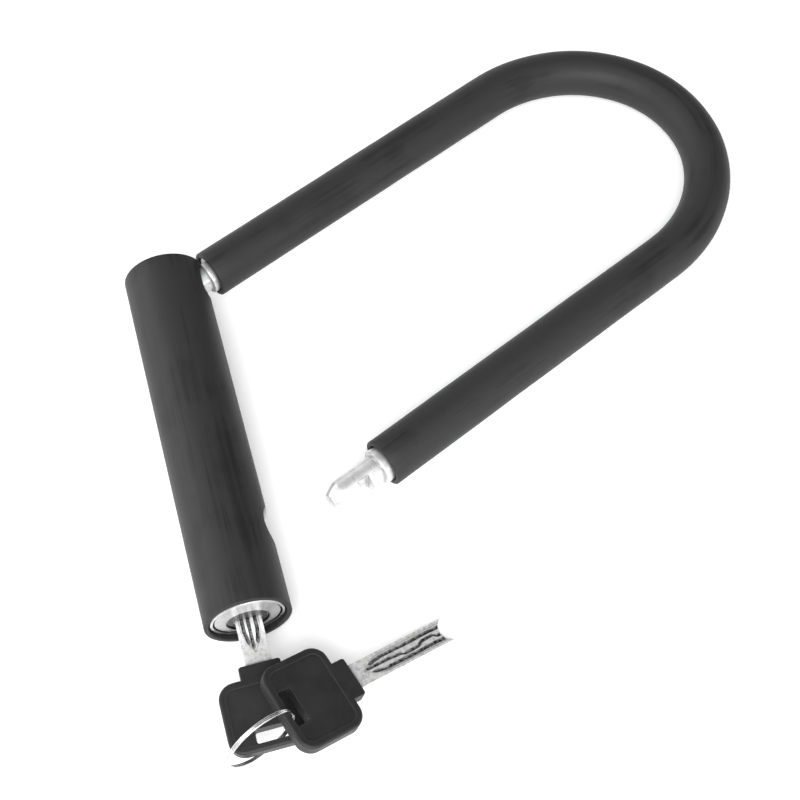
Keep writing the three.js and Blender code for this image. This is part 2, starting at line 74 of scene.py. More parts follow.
FOOT_PIN = (4.3, 5.4)
LEG_1_X = 8
LEG_2_X = 111.1
OPEN_ANGLE = math.radians(23.92)
STRAIGHT_END = 156.4
BEND_HEIGHT = 56.8
SLEEVE_START = 16.05
SLEEVE_RADIUS = 9.05
SLEEVE_BORE = 7.15
SLEEVE_RIM = 0.6
SLEEVE_DRIFT = 0.1
ROD_RADIUS = 6.75
TIP_RADIUS = 5.2
TIP_END_RADIUS = 3
TIP_END = -7.45
TIP_CONE = 4.6
ROD_EDGE = 0.35
SHOULDER_1 = 14.15
SHOULDER_2 = 13.35
NOTCH_FLOOR = 1.95
NOTCH_START = 3.35
NOTCH_END = 7.85
NOTCH_CORNER = 0.3
NOTCH_REACH = 10

KEY_ROOT = (156.4, 0, -2.6)
BLADE_GAP = 0.3
BLADE_LENGTH = 39.6
BLADE_WIDTH = 9
BLADE_THICKNESS = 2.3
BLADE_EDGE = 0.15
BLADE_TIP_CORNER = 0.4
BLADE_TIP_DIP = 1.2
POCKET_START = -3.8
POCKET_FULL = -12.5
POCKET_WIDTH = 7
POCKET_POINT = 0.5
POCKET_DEPTH = 0.36
# The milled tracks of a blade: sideways place, start, radius, and how far the wavy course swings.
LANES = (
    {"offset": 0, "start": -4.8, "radius": 0.72, "swing": 0.75},
    {"offset": 2.25, "start": -6.6, "radius": 0.74, "swing": 0.08},
    {"offset": -2.25, "start": -6.6, "radius": 0.74, "swing": 0.08},
)
POCKET_OVERRUN = 10
TRACK_OVERRUN = 9
TRACK_STEPS = 110
TRACK_START = 0.6  # share of an outer track's offset at its start, where it leans in
TRACK_RISE = 5
# The wavy track's course: its first place, then how far from the collar it leaves for each next one.
WAVE_FIRST = -0.35
WAVE_COURSE = ((14, 0.1), (19, 1.0), (21, 0.8), (26, -0.6), (28.5, -0.9), (33, 0.5), (35, 0.6))
WAVE_LAST_RUN = 2
TANG_LENGTH = 10
TANG_WIDTH = 7
COLLAR_LENGTH = 4.4
COLLAR_WIDTH = 14.2
COLLAR_THICKNESS = 5
COLLAR_OVERLAP = 4
COLLAR_CORNER = 1
COLLAR_EDGE = 0.5
HEAD_LENGTH = 24.3
HEAD_WIDTH = 31
HEAD_THICKNESS = 5.2
HEAD_MIDDLE = COLLAR_LENGTH + HEAD_LENGTH / 2
HEAD_CORNER = 5.5
HEAD_EDGE = 1.0
HEAD_SOFT_EDGE = 0.22
SOCKET_PLAY = 0.6
SLOT_LENGTH = 4.8
SLOT_WIDTH = 12.8
SLOT_CORNER = 0.8
SLOT_FROM_END = 2.4
PANEL_BORDER = 2.4
PANEL_DEPTH = 0.35
SPARE_TURN = Euler((math.radians(-0.93), math.radians(-18.22), math.radians(-72.23)), "XYZ")
SPARE_PIVOT_FROM_END = 3.3

WOBBLE_SCALE = 0.06  # how tightly a swept skin wanders, per mm

RING_RADIUS = 12.62
RING_WIRE = 0.9
RING_PITCH = 1.1
RING_CORNER = 0.42
RING_TURNS = 2
RING_END = 0.45  # share of the wire's thickness left where its ends are filed thin

# ---------------------------------------------------------------- places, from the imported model

joints = {joint["name"]: joint for joint in frame["joints"]}


def lock_frame():
    """The crossbar's own frame: x along its axis from the closed end, y towards the shackle."""
    low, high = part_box("crossbar_cover")
    middle = (Vector(low) + Vector(high)) / 2
    up = Vector(joints["shackle_swing"]["axis"]).normalized()
    along = Vector((1, 0, 0))
    across = up.cross(along)
    turn = Matrix((along, across, up)).transposed().to_4x4()
    return Matrix.Translation((low[0], middle.y, middle.z)) @ turn


LOCK = lock_frame()


def shackle_frame():
    """The shut shackle's frame, turned about the foot's pin to where the shackle lies."""
    pin = Vector((*FOOT_PIN, 0)) * MM
    swing = Matrix.Rotation(OPEN_ANGLE, 4, "Z")
    return LOCK @ Matrix.Translation(pin) @ swing @ Matrix.Translation(-pin)


def key_frame():
    return LOCK @ Matrix.Translation(Vector(KEY_ROOT) * MM)


def spare_frame():
    """The spare key's frame, turned about the place where its slot rests on the ring."""
    turn = SPARE_TURN.to_matrix().to_4x4()
    pivot = Vector(joints["spare_key_lift"]["pos_m"])
    reach = BLADE_GAP + COLLAR_LENGTH + HEAD_LENGTH - SPARE_PIVOT_FROM_END
    return Matrix.Translation(pivot) @ turn @ Matrix.Translation((-reach * MM, 0, 0))


PLUG_AXIS = joints["plug_turn"]["pos_m"]
PLUG_LOW, PLUG_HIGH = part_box("plug")
PLUG_RADIUS = (PLUG_HIGH[1] - PLUG_LOW[1]) / 2
# width of the painted shade in the gap round the plug's face
GAP_SHADE_WIDTH = 0.9 * MM

# ---------------------------------------------------------------- node materials


class Nodes:
    """A material's node tree, with short ways to add to it."""

    def __init__(self, name):
        self.material = bpy.data.materials.new(name)
        self.material.use_nodes = True
        self.tree = self.material.node_tree
        self.shader = self.tree.nodes["Principled BSDF"]

    def add(self, kind, **settings):
        node = self.tree.nodes.new(kind)
        for key, value in settings.items():
            setattr(node, key, value)
        return node

    def link(self, source, target):
        self.tree.links.new(source, target)

    def set(self, **values):
        for key, value in values.items():
            self.shader.inputs[key.replace("_", " ")].default_value = value

    def object_coordinates(self, stretch=(1, 1, 1)):
        source = self.add("ShaderNodeTexCoord")
        mapping = self.add("ShaderNodeMapping")
        mapping.inputs["Scale"].default_value = stretch
        self.link(source.outputs["Object"], mapping.inputs["Vector"])
        return mapping.outputs["Vector"]

    def run_coordinates(self, stretch=(1, 1, 1)):
        """Distance along a swept piece and round it, in metres."""
        source = self.add("ShaderNodeUVMap", uv_map="run")
        mapping = self.add("ShaderNodeMapping")
        mapping.inputs["Scale"].default_value = stretch
        self.link(source.outputs["UV"], mapping.inputs["Vector"])
        return mapping.outputs["Vector"]

    def noise(self, vector, scale, detail=4, roughness=0.55):
        node = self.add("ShaderNodeTexNoise")
        node.inputs["Scale"].default_value = scale
        node.inputs["Detail"].default_value = detail
        node.inputs["Roughness"].default_value = roughness
        self.link(vector, node.inputs["Vector"])
        return node.outputs["Fac"]

    def spread(self, value, low, high, start=0.3, end=0.7):
        node = self.add("ShaderNodeMapRange")
        node.inputs["From Min"].default_value = start
        node.inputs["From Max"].default_value = end
        node.inputs["To Min"].default_value = low
        node.inputs["To Max"].default_value = high
        self.link(value, node.inputs["Value"])
        return node.outputs["Result"]

    def ramp(self, value, dark, light, start=0.3, end=0.7):
        node = self.add("ShaderNodeValToRGB")
        node.color_ramp.elements[0].position = start
        node.color_ramp.elements[0].color = (*dark, 1)
        node.color_ramp.elements[1].position = end
        node.color_ramp.elements[1].color = (*light, 1)
        self.link(value, node.inputs["Fac"])
        return node.outputs["Color"]

    def mix(self, amount, colour, other):
        node = self.add("ShaderNodeMix", data_type="RGBA")
        self.link(amount, node.inputs["Factor"])
        self.link(colour, node.inputs["A"])
        node.inputs["B"].default_value = (*other, 1)
        return node.outputs["Result"]

    def painted_edge_shading(self, colour, edge_paint, reach=0.0005, strength=0.5):
        """Paints convex edges, which a bevelled normal finds, in another colour: a painted highlight where
        lighter, painted shade where darker.
        """
        bevel = self.add("ShaderNodeBevel", samples=4)
        bevel.inputs["Radius"].default_value = reach
        plain = self.add("ShaderNodeNewGeometry")
        dot = self.add("ShaderNodeVectorMath", operation="DOT_PRODUCT")
        self.link(bevel.outputs["Normal"], dot.inputs[0])
        self.link(plain.outputs["Normal"], dot.inputs[1])
        amount = self.spread(dot.outputs["Value"], strength, 0, 0.8, 1.0)
        return self.mix(amount, colour, edge_paint)

    def painted_recess_shade(self, colour, shade, reach=0.0012):
        """Paints shade into the insides of grooves, gaps and corners, which ambient occlusion finds."""
        occlusion = self.add("ShaderNodeAmbientOcclusion", samples=6)
        occlusion.inputs["Distance"].default_value = reach
        amount = self.spread(occlusion.outputs["AO"], 1, 0, 0.35, 0.95)
        return self.mix(amount, colour, shade)

    def painted_gap_shade(self, colour, shade, axis_point, radius, width):
        """Paints a line of shade round an axis along x, in the gap where two pieces meet."""
        source = self.add("ShaderNodeTexCoord")
        away = self.add("ShaderNodeVectorMath", operation="SUBTRACT")
        self.link(source.outputs["Object"], away.inputs[0])
        away.inputs[1].default_value = axis_point
        flat = self.add("ShaderNodeVectorMath", operation="MULTIPLY")
        self.link(away.outputs["Vector"], flat.inputs[0])
        flat.inputs[1].default_value = (0, 1, 1)
        length = self.add("ShaderNodeVectorMath", operation="LENGTH")
        self.link(flat.outputs["Vector"], length.inputs[0])
        edge = radius + width / 2
        amount = self.spread(length.outputs["Value"], 1, 0, edge, radius + width)
        return self.mix(amount, colour, shade)

    def bump(self, height, strength, distance):
        node = self.add("ShaderNodeBump")
        node.inputs["Strength"].default_value = strength
        node.inputs["Distance"].default_value = distance
        self.link(height, node.inputs["Height"])
        self.link(node.outputs["Normal"], self.shader.inputs["Normal"])

    def finish(self, colour, roughness):
        self.link(colour, self.shader.inputs["Base Color"])
        self.link(roughness, self.shader.inputs["Roughness"])
        return self.material


def vinyl_material():
    """Soft satin cover: faint streaks along its run, fine grain, and a painted highlight along its edges."""
    n = Nodes("soft_vinyl")
    n.set(Metallic=0.0, Specular_IOR_Level=0.22)
    streaks = n.noise(n.run_coordinates((14, 420, 1)), 1, 3)
    cloud = n.noise(n.object_coordinates(), 45, 3)
    grain = n.noise(n.object_coordinates(), 2600, 3, 0.6)
    both = n.add("ShaderNodeMath", operation="ADD")
    n.link(streaks, both.inputs[0])
    n.link(cloud, both.inputs[1])
    dark, light = (0.014, 0.014, 0.0144), (0.023, 0.023, 0.0234)
    colour = n.ramp(both.outputs["Value"], dark, light, 0.75, 1.25)
    # painted highlight along the cover's edges
    colour = n.painted_edge_shading(colour, (0.09, 0.09, 0.09), 0.0006, 0.5)
    roughness = n.spread(streaks, 0.46, 0.58)
    n.bump(grain, 0.25, 0.00018)
    return n.finish(colour, roughness)


def chrome_material():
    """Bright plating with fine rubbing marks, and painted shade along its edges and in its corners."""
    n = Nodes("bright_chrome")
    n.set(Metallic=0.58)
    marks = n.noise(n.object_coordinates((1, 1, 6)), 420, 5, 0.7)
    cloud = n.noise(n.object_coordinates(), 240, 4, 0.65)
    colour = n.ramp(cloud, (0.55, 0.55, 0.555), (0.76, 0.76, 0.765))
    # painted shade along the edges, then painted shade in the corners
    colour = n.painted_edge_shading(colour, (0.06, 0.06, 0.06), 0.0005, 1.0)
    colour = n.painted_recess_shade(colour, (0.16, 0.16, 0.16), 0.0026)
    roughness = n.spread(marks, 0.24, 0.40)
    n.bump(marks, 0.10, 0.00008)
    return n.finish(colour, roughness)


def ring_material():
    """Drawn wire, with painted shade in the gap between the turns."""
    n = Nodes("ring_wire")
    n.set(Metallic=1.0)
    marks = n.noise(n.object_coordinates(), 900, 4, 0.65)
    colour = n.ramp(marks, (0.48, 0.48, 0.485), (0.70, 0.70, 0.705))
    # painted shade in the gap between the turns
    colour = n.painted_recess_shade(colour, (0.01, 0.01, 0.01), 0.0006)
    roughness = n.spread(marks, 0.16, 0.28)
    n.bump(marks, 0.10, 0.00006)
    return n.finish(colour, roughness)


def steel_material():
    """Turned steel: fine rings round the x axis and a little tarnish."""
    n = Nodes("turned_steel")
    n.set(Metallic=1.0)
    rings = n.noise(n.object_coordinates((9, 1, 1)), 500, 4, 0.65)
    tarnish = n.noise(n.object_coordinates(), 160, 4)
    colour = n.ramp(tarnish, (0.48, 0.48, 0.49), (0.72, 0.72, 0.73))
    # painted shade in the grooves and corners
    colour = n.painted_recess_shade(colour, (0.02, 0.02, 0.02), 0.001)
    roughness = n.spread(rings, 0.22, 0.42)
    n.bump(rings, 0.15, 0.00008)
    return n.finish(colour, roughness)


def zinc_material():
    """Satin plated casting: a soft, cloudy surface with tiny pits, a painted highlight along its edges and painted
    shade in its corners and round the plug.
    """
    n = Nodes("satin_zinc")
    n.set(Metallic=1.0)
    cloud = n.noise(n.object_coordinates(), 220, 5, 0.6)
    pits = n.noise(n.object_coordinates(), 2400, 3, 0.7)
    colour = n.ramp(cloud, (0.46, 0.46, 0.465), (0.64, 0.64, 0.645))
    # painted highlight along the edges, painted shade in the corners and in the gap round the plug
    colour = n.painted_edge_shading(colour, (0.92, 0.92, 0.93), 0.0004, 0.6)
    colour = n.painted_recess_shade(colour, (0.02, 0.02, 0.02), 0.001)
    colour = n.painted_gap_shade(colour, (0.03, 0.03, 0.03), PLUG_AXIS, PLUG_RADIUS, GAP_SHADE_WIDTH)
    roughness = n.spread(cloud, 0.30, 0.46)
    n.bump(pits, 0.14, 0.0001)
    return n.finish(colour, roughness)


def plug_material():
    """The plug's darker face, with a painted highlight round its edge."""
    n = Nodes("plug_metal")
    n.set(Metallic=1.0)
    cloud = n.noise(n.object_coordinates(), 300, 5, 0.6)
    scratches = n.noise(n.object_coordinates((1, 8, 1)), 900, 4, 0.7)
    colour = n.ramp(cloud, (0.06, 0.06, 0.062), (0.13, 0.13, 0.132))
    # painted highlight round the plug's edge
    colour = n.painted_edge_shading(colour, (0.95, 0.95, 0.96), 0.0004, 1.0)
    roughness = n.spread(scratches, 0.28, 0.45)
    n.bump(scratches, 0.12, 0.00008)
    return n.finish(colour, roughness)


def brass_material():
    n = Nodes("turned_brass")
    n.set(Metallic=1.0)
    cloud = n.noise(n.object_coordinates(), 600, 4)
    colour = n.ramp(cloud, (0.52, 0.36, 0.14), (0.78, 0.58, 0.28))
    roughness = n.spread(cloud, 0.22, 0.4)
    n.bump(cloud, 0.12, 0.00006)
    return n.finish(colour, roughness)


def nickel_material():
    """Plated key blank: long rubbing marks along the blade, a painted highlight along its edges and painted shade
    in its hollows.
    """
    n = Nodes("plated_nickel")
    n.set(Metallic=0.62)
    marks = n.noise(n.run_coordinates((160, 1500, 1)), 1, 4, 0.7)
    cloud = n.noise(n.object_coordinates(), 700, 5, 0.7)
    colour = n.ramp(cloud, (0.66, 0.66, 0.655), (0.97, 0.97, 0.965), 0.36, 0.56)
    # painted highlight along the edges, painted shade in the hollows
    colour = n.painted_edge_shading(colour, (0.96, 0.96, 0.95), 0.0003, 0.6)
    colour = n.painted_recess_shade(colour, (0.10, 0.10, 0.10))
    roughness = n.spread(marks, 0.26, 0.46)
    n.bump(marks, 0.22, 0.00008)
    return n.finish(colour, roughness)


def groove_material():
    """The milled tracks of a key: the same plate, painted dark for the shade inside the grooves."""
    n = Nodes("milled_groove")
    n.set(Metallic=1.0)
    cloud = n.noise(n.object_coordinates(), 900, 4, 0.65)
    # dark colours stand for the shade inside the grooves, with more painted shade in their corners
    colour = n.ramp(cloud, (0.05, 0.05, 0.05), (0.42, 0.42, 0.42), 0.38, 0.62)
    colour = n.painted_recess_shade(colour, (0.01, 0.01, 0.01), 0.0008)
    roughness = n.spread(cloud, 0.25, 0.5)
    n.bump(cloud, 0.3, 0.0001)
    return n.finish(colour, roughness)


def head_material():
    """Moulded plastic: fine spark grain and a painted highlight along its edges."""
    n = Nodes("moulded_plastic")
    n.set(Metallic=0.0, Specular_IOR_Level=0.26)
    cloud = n.noise(n.object_coordinates(), 120, 4)
    grain = n.noise(n.object_coordinates(), 3200, 3, 0.65)
    colour = n.ramp(cloud, (0.014, 0.014, 0.0143), (0.022, 0.022, 0.0223))
    # painted highlight along the head's edges
    colour = n.painted_edge_shading(colour, (0.075, 0.075, 0.076), 0.0005, 0.5)
    roughness = n.spread(grain, 0.36, 0.52)
    n.bump(grain, 0.4, 0.0002)
    return n.finish(colour, roughness)


def floor_material():
    n = Nodes("pale_floor")
    n.set(Metallic=0.0, Specular_IOR_Level=0.2, Emission_Color=(1, 1, 1, 1), Emission_Strength=0.22)
    cloud = n.noise(n.object_coordinates(), 6, 3)
    colour = n.ramp(cloud, (0.90, 0.90, 0.90), (0.93, 0.93, 0.93))
    roughness = n.spread(cloud, 0.7, 0.85)
    return n.finish(colour, roughness)


MATERIALS = {
    "vinyl": vinyl_material(),
    "chrome": chrome_material(),
    "ring": ring_material(),
    "steel": steel_material(),
    "zinc": zinc_material(),
    "plug": plug_material(),
    "brass": brass_material(),
    "nickel": nickel_material(),
    "groove": groove_material(),
    "head_plastic": head_material(),
}

# ---------------------------------------------------------------- mesh building


def new_object(name, mesh, material):
    item = bpy.data.objects.new(name, mesh)
    bpy.context.scene.collection.objects.link(item)
    mesh.materials.clear()
    mesh.materials.append(material)
    return item


def take_mesh(bm, name, place):
    """Turns a finished bmesh, in metres, into a mesh where it belongs."""
    bmesh.ops.recalc_face_normals(bm, faces=bm.faces)
    mesh = bpy.data.meshes.new(name)
    bm.to_mesh(mesh)
    bm.free()
    mesh.transform(place)
    return mesh


def smooth(mesh, sharp_angle=35):
    mesh.polygons.foreach_set("use_smooth", [True] * len(mesh.polygons))
    mesh.set_sharp_from_angle(angle=math.radians(sharp_angle))


def arc(centre, radius, start, end, count):
    """Points on an arc, in degrees, as (x, y) pairs."""
    points = []
    for i in range(count + 1):
        angle = math.radians(start + (end - start) * i / count)
        points.append((centre[0] + radius * math.cos(angle), centre[1] + radius * math.sin(angle)))
    return points


def swept(name, stations, sides, material, place, closed=False, wobble=0.0):
    """A skin round a list of (centre, side, up, radius) stations, in mm.

    A closed skin joins its last station to its first. An open one gets flat ends. The skin
    wanders in and out by up to the wobble.
    """
    bm = bmesh.new()
    run = bm.loops.layers.uv.new("run")
    rows = []
    lengths = [0.0]
    for i, (centre, side, up, radius) in enumerate(stations):
        row = []
        for k in range(sides):
            angle = 2 * math.pi * k / sides
            out = side * math.cos(angle) + up * math.sin(angle)
            point = centre + out * radius
            if wobble:
                point += out * wobble * noise.noise(point * WOBBLE_SCALE)
            row.append(bm.verts.new(point * MM))
        rows.append(row)
        if i:
            lengths.append(lengths[-1] + (centre - stations[i - 1][0]).length)
    count = len(rows)
    girth = 2 * math.pi * max(station[3] for station in stations)
    for i in range(count if closed else count - 1):
        here, there = rows[i], rows[(i + 1) % count]
        far = lengths[i + 1] if i + 1 < count else lengths[i]
        for k in range(sides):
            face = bm.faces.new((here[k], here[(k + 1) % sides], there[(k + 1) % sides], there[k]))
            spans = ((lengths[i], k), (lengths[i], k + 1), (far, k + 1), (far, k))
            for loop, (along, step) in zip(face.loops, spans):
                loop[run].uv = (along * MM, girth * step / sides * MM)
    if not closed:
        bm.faces.new(list(reversed(rows[0])))
        bm.faces.new(rows[-1])
    mesh = take_mesh(bm, name, place)
    smooth(mesh)
    return new_object(name, mesh, material)


def plate_mesh(name, outline, thickness, place, material, bevel=0.0, segments=3):
    """A flat outline in mm, thickened about its own plane, with rounded edges."""
    bm = bmesh.new()
    low = [bm.verts.new((x, y, -thickness / 2)) for x, y in outline]
    high = [bm.verts.new((x, y, thickness / 2)) for x, y in outline]
    bm.faces.new(list(reversed(low)))
    bm.faces.new(high)
    count = len(outline)
    for i in range(count):
        j = (i + 1) % count
        bm.faces.new((low[i], low[j], high[j], high[i]))
    bmesh.ops.recalc_face_normals(bm, faces=bm.faces)  # the bevel needs them
    if bevel:
        rims = [e for e in bm.edges if abs(e.verts[0].co.z - e.verts[1].co.z) < 1e-6]
        bmesh.ops.bevel(bm, geom=rims, offset=bevel, segments=segments, profile=0.5, affect="EDGES")
    run = bm.loops.layers.uv.new("run")
    for vert in bm.verts:
        vert.co *= MM
    for face in bm.faces:
        for loop in face.loops:
            loop[run].uv = loop.vert.co.xy
    mesh = take_mesh(bm, name, place)
    smooth(mesh, 40)
    return new_object(name, mesh, material)


def rounded_outline(width, height, corner, centre=(0, 0), count=8):
    x, y = width / 2 - corner, height / 2 - corner
    points = []
    for sx, sy, start in ((1, 1, 0), (-1, 1, 90), (-1, -1, 180), (1, -1, 270)):
        middle = (centre[0] + sx * x, centre[1] + sy * y)
        points += arc(middle, corner, start, start + 90, count)
    return points


def cylinder(name, start, end, radius, place, sides=64):
    """A cutting tool: a round bar between two points, in mm."""
    start, end = Vector(start), Vector(end)
    along = (end - start).normalized()
    side = along.orthogonal().normalized()
    up = along.cross(side)
    stations = [(point, side, up, radius) for point in (start, end)]
    return swept(name, stations, sides, MATERIALS["steel"], place)


def apply_modifiers(body):
    bpy.context.view_layer.update()
    graph = bpy.context.evaluated_depsgraph_get()
    result = bpy.data.meshes.new_from_object(body.evaluated_get(graph))
    body.modifiers.clear()
    body.data = result


def combine(body, tools, operation="DIFFERENCE"):
    """Cuts or joins tools for good, and removes them."""
    for tool in tools:
        modifier = body.modifiers.new(tool.name, "BOOLEAN")
        modifier.operation = operation
        modifier.solver = "EXACT"
        modifier.material_mode = "TRANSFER"
        modifier.object = tool
    apply_modifiers(body)
    for tool in tools:
        bpy.data.objects.remove(tool)


def soften(body, width, angle=40):
    """Rounds the hard edges that cutting leaves."""
    modifier = body.modifiers.new("soft_edges", "BEVEL")
    modifier.width = width
    modifier.segments = 2
    modifier.limit_method = "ANGLE"
    modifier.angle_limit = math.radians(angle)
    modifier.use_clamp_overlap = True
    apply_modifiers(body)
    smooth(body.data, angle)


def flat_shading_kept(body):
    """Lets the large flat faces set the shading, so that cuts leave no gradients on them."""
    modifier = body.modifiers.new("weighted_normals", "WEIGHTED_NORMAL")
    modifier.keep_sharp = True
    modifier.weight = 100


def stands_for(item, node, body):
    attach(item, body)
    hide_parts(node)


# ---------------------------------------------------------------- crossbar


def crossbar_profile(steps=40):
    """The cover's wall as (x, radius) points, closed."""
    rim, outer, inner = COVER_RIM, COVER_RADIUS, COVER_INNER
    far = BAR_LENGTH
    points = arc((rim, outer - rim), rim, 180, 90, 5)
    points += [(rim + (far - 2 * rim) * i / steps, outer) for i in range(1, steps)]
    points += arc((far - rim, outer - rim), rim, 90, 0, 5)
    points += [(far, inner + COVER_LIP), (far - COVER_LIP, inner)]
    points += [(COVER_LIP, inner), (0, inner + COVER_LIP)]
    return points


def cover_point(x, radius, angle):
    """A point of the cover's wall: its outside wanders a little, and its open end is askew."""
    y, z = math.cos(angle), math.sin(angle)
    if radius > COVER_INNER + 1:
        place = Vector((x * DRIFT_ALONG, DRIFT_ROUND * y, DRIFT_ROUND * z))
        radius *= 1 + COVER_DRIFT * noise.noise(place)
    share = max(0, (x - END_SKEW_START) / (BAR_LENGTH - END_SKEW_START))
    return Vector((x - END_SKEW * share * z, radius * y, radius * z)) * MM


def cover_mesh(sides=128):
    profile = crossbar_profile()
    bm = bmesh.new()
    run = bm.loops.layers.uv.new("run")
    columns = []
    for k in range(sides):
        angle = 2 * math.pi * k / sides
        columns.append([bm.verts.new(cover_point(x, radius, angle)) for x, radius in profile])
    count = len(profile)
    girth = 2 * math.pi * COVER_RADIUS
    for k in range(sides):
        here, there = columns[k], columns[(k + 1) % sides]
        for i in range(count):
            j = (i + 1) % count
            face = bm.faces.new((here[i], there[i], there[j], here[j]))
            spans = ((i, k), (i, k + 1), (j, k + 1), (j, k))
            for loop, (step, turn) in zip(face.loops, spans):
                loop[run].uv = (profile[step][0] * MM, girth * turn / sides * MM)
    return take_mesh(bm, "vinyl_crossbar", LOCK)


def make_crossbar_cover():
    """The cover, with the tip's round hole and the foot's wide one, towards the shackle."""
    cover = new_object("vinyl_crossbar", cover_mesh(), MATERIALS["vinyl"])
    near, far = (TIP_HOLE_X, 8, 0), (TIP_HOLE_X, 20, 0)
    tip_hole = cylinder("tip_hole", near, far, TIP_HOLE_RADIUS, LOCK)
    lay_flat = Matrix.Rotation(math.radians(-90), 4, "X")
    place = LOCK @ Matrix.Translation(Vector((FOOT_HOLE_X, 14, 0)) * MM) @ lay_flat
    outline = rounded_outline(*FOOT_HOLE_SIZE, FOOT_HOLE_CORNER)
    foot_hole = plate_mesh("foot_hole", outline, 12, place, MATERIALS["vinyl"])
    combine(cover, [tip_hole, foot_hole])
    smooth(cover.data, 35)
    stands_for(cover, "crossbar_cover", "crossbar")


# ---------------------------------------------------------------- shackle


def shackle_path(start_1, start_2, straight_steps=24, bend_steps=72):
    """Points of the shackle's centre line, from leg 1's end round to leg 2's end, in mm."""
    half = (LEG_2_X - LEG_1_X) / 2
    points = []
    for i in range(straight_steps):
        share = i / straight_steps
        points.append(Vector((LEG_1_X, start_1 + (STRAIGHT_END - start_1) * share, 0)))
    for i in range(bend_steps + 1):
        angle = math.pi * i / bend_steps
        x = LEG_1_X + half * (1 - math.cos(angle))
        points.append(Vector((x, STRAIGHT_END + BEND_HEIGHT * math.sin(angle), 0)))
    for i in range(1, straight_steps + 1):
        share = i / straight_steps
        points.append(Vector((LEG_2_X, STRAIGHT_END + (start_2 - STRAIGHT_END) * share, 0)))
    return points


def path_stations(points, radii):
    """Stations along a flat path, each square to it."""
    up = Vector((0, 0, 1))
    stations = []
    last = len(points) - 1
    for i, (point, radius) in enumerate(zip(points, radii)):
        tangent = (points[min(i + 1, last)] - points[max(i - 1, 0)]).normalized()
        stations.append((point, tangent.cross(up), up, radius))
    return stations


def make_sleeve():
    """One closed skin: out along the inside, round the mouth's rim and back along the outside."""
    rim = SLEEVE_RIM
    mouth = SLEEVE_START
    path = shackle_path(mouth + rim, mouth + rim)
    outer = path_stations(path, [SLEEVE_RADIUS] * len(path))
    inner = path_stations(path, [SLEEVE_BORE] * len(path))
    middle = (SLEEVE_RADIUS + SLEEVE_BORE) / 2
    half = (SLEEVE_RADIUS - SLEEVE_BORE) / 2

    def rim_ring(x, side, sweep):
        angle = math.radians(sweep)
        point = Vector((x, mouth + rim - rim * math.sin(angle), 0))
        return (point, side, Vector((0, 0, 1)), middle + half * math.cos(angle))

    turns = (30, 60, 90, 120, 150)
    far_rim = [rim_ring(LEG_2_X, outer[-1][1], turn) for turn in turns]
    near_rim = [rim_ring(LEG_1_X, outer[0][1], turn) for turn in reversed(turns)]
    stations = outer + far_rim + list(reversed(inner)) + near_rim
    sleeve = swept(
        "vinyl_shackle", stations, 72, MATERIALS["vinyl"], shackle_frame(), True, SLEEVE_DRIFT
    )
    stands_for(sleeve, "shackle_sleeve", "shackle")


def rod_end(x, shoulder):
    """Centres and radii from a leg's tip up to its shoulder, with small rounded corners."""
    edge = ROD_EDGE
    cone_end = TIP_END + TIP_CONE
    profile = [
        (TIP_END, TIP_END_RADIUS - edge),
        (TIP_END + edge * 0.4, TIP_END_RADIUS - edge * 0.3),
        (TIP_END + edge, TIP_END_RADIUS + edge * 0.2),
        (cone_end - edge, TIP_RADIUS - edge * 0.4),
        (cone_end, TIP_RADIUS - 0.08),
        (cone_end + edge, TIP_RADIUS),
        (0.5, TIP_RADIUS),
        (NOTCH_END + 2, TIP_RADIUS),
        (shoulder - 0.25, TIP_RADIUS),
        (shoulder, TIP_RADIUS + 0.2),
        (shoulder + 0.02, ROD_RADIUS - edge),
        (shoulder + edge * 0.35, ROD_RADIUS - edge * 0.3),
        (shoulder + edge, ROD_RADIUS),
    ]
    points = [Vector((x, along, 0)) for along, _ in profile]
    return points, [radius for _, radius in profile]


def notch_cutter(name, middle, start, end, place):
    """A block that cuts a flat-floored notch between two places along a leg."""
    outline = rounded_outline(NOTCH_REACH, end - start, NOTCH_CORNER, (middle, (start + end) / 2))
    return plate_mesh(name, outline, 20, place, MATERIALS["chrome"])


def make_rod():
    """The bent rod: one leg has the foot's flat, the other the bolt's notch."""
    points_1, radii_1 = rod_end(LEG_1_X, SHOULDER_1)
    points_2, radii_2 = rod_end(LEG_2_X, SHOULDER_2)
    path = shackle_path(SHOULDER_1 + 1, SHOULDER_2 + 1)
    points = points_1 + path + list(reversed(points_2))
    radii = radii_1 + [ROD_RADIUS] * len(path) + list(reversed(radii_2))
    place = shackle_frame()
    rod = swept("chrome_rod", path_stations(points, radii), 64, MATERIALS["chrome"], place)
    out = NOTCH_FLOOR + NOTCH_REACH / 2
    foot_notch = notch_cutter("foot_notch", LEG_1_X - out, NOTCH_START, SLEEVE_START + 1, place)
    bolt_notch = notch_cutter("bolt_notch", LEG_2_X + out, NOTCH_START, NOTCH_END, place)
    combine(rod, [foot_notch, bolt_notch])
    smooth(rod.data, 35)
    stands_for(rod, "shackle_rod", "shackle")


# ---------------------------------------------------------------- keys


def blade_outline():
    """The blade, with a round bite out of its tip and a tang that runs into the head."""
    half = BLADE_WIDTH / 2
    tang = TANG_WIDTH / 2
    tang_end = TANG_LENGTH + COLLAR_LENGTH
    tip = -BLADE_LENGTH
    corner = tip + BLADE_TIP_CORNER
    radius = math.hypot(BLADE_TIP_DIP, half)
    bite = math.degrees(math.atan2(half, BLADE_TIP_DIP))
    points = [(tang_end, -tang), (tang_end, tang), (0, tang), (0, half), (corner, half)]
    points += arc((tip - BLADE_TIP_DIP, 0), radius, bite, -bite, 14)
    points += [(corner, -half), (0, -half), (0, -tang)]
    return points


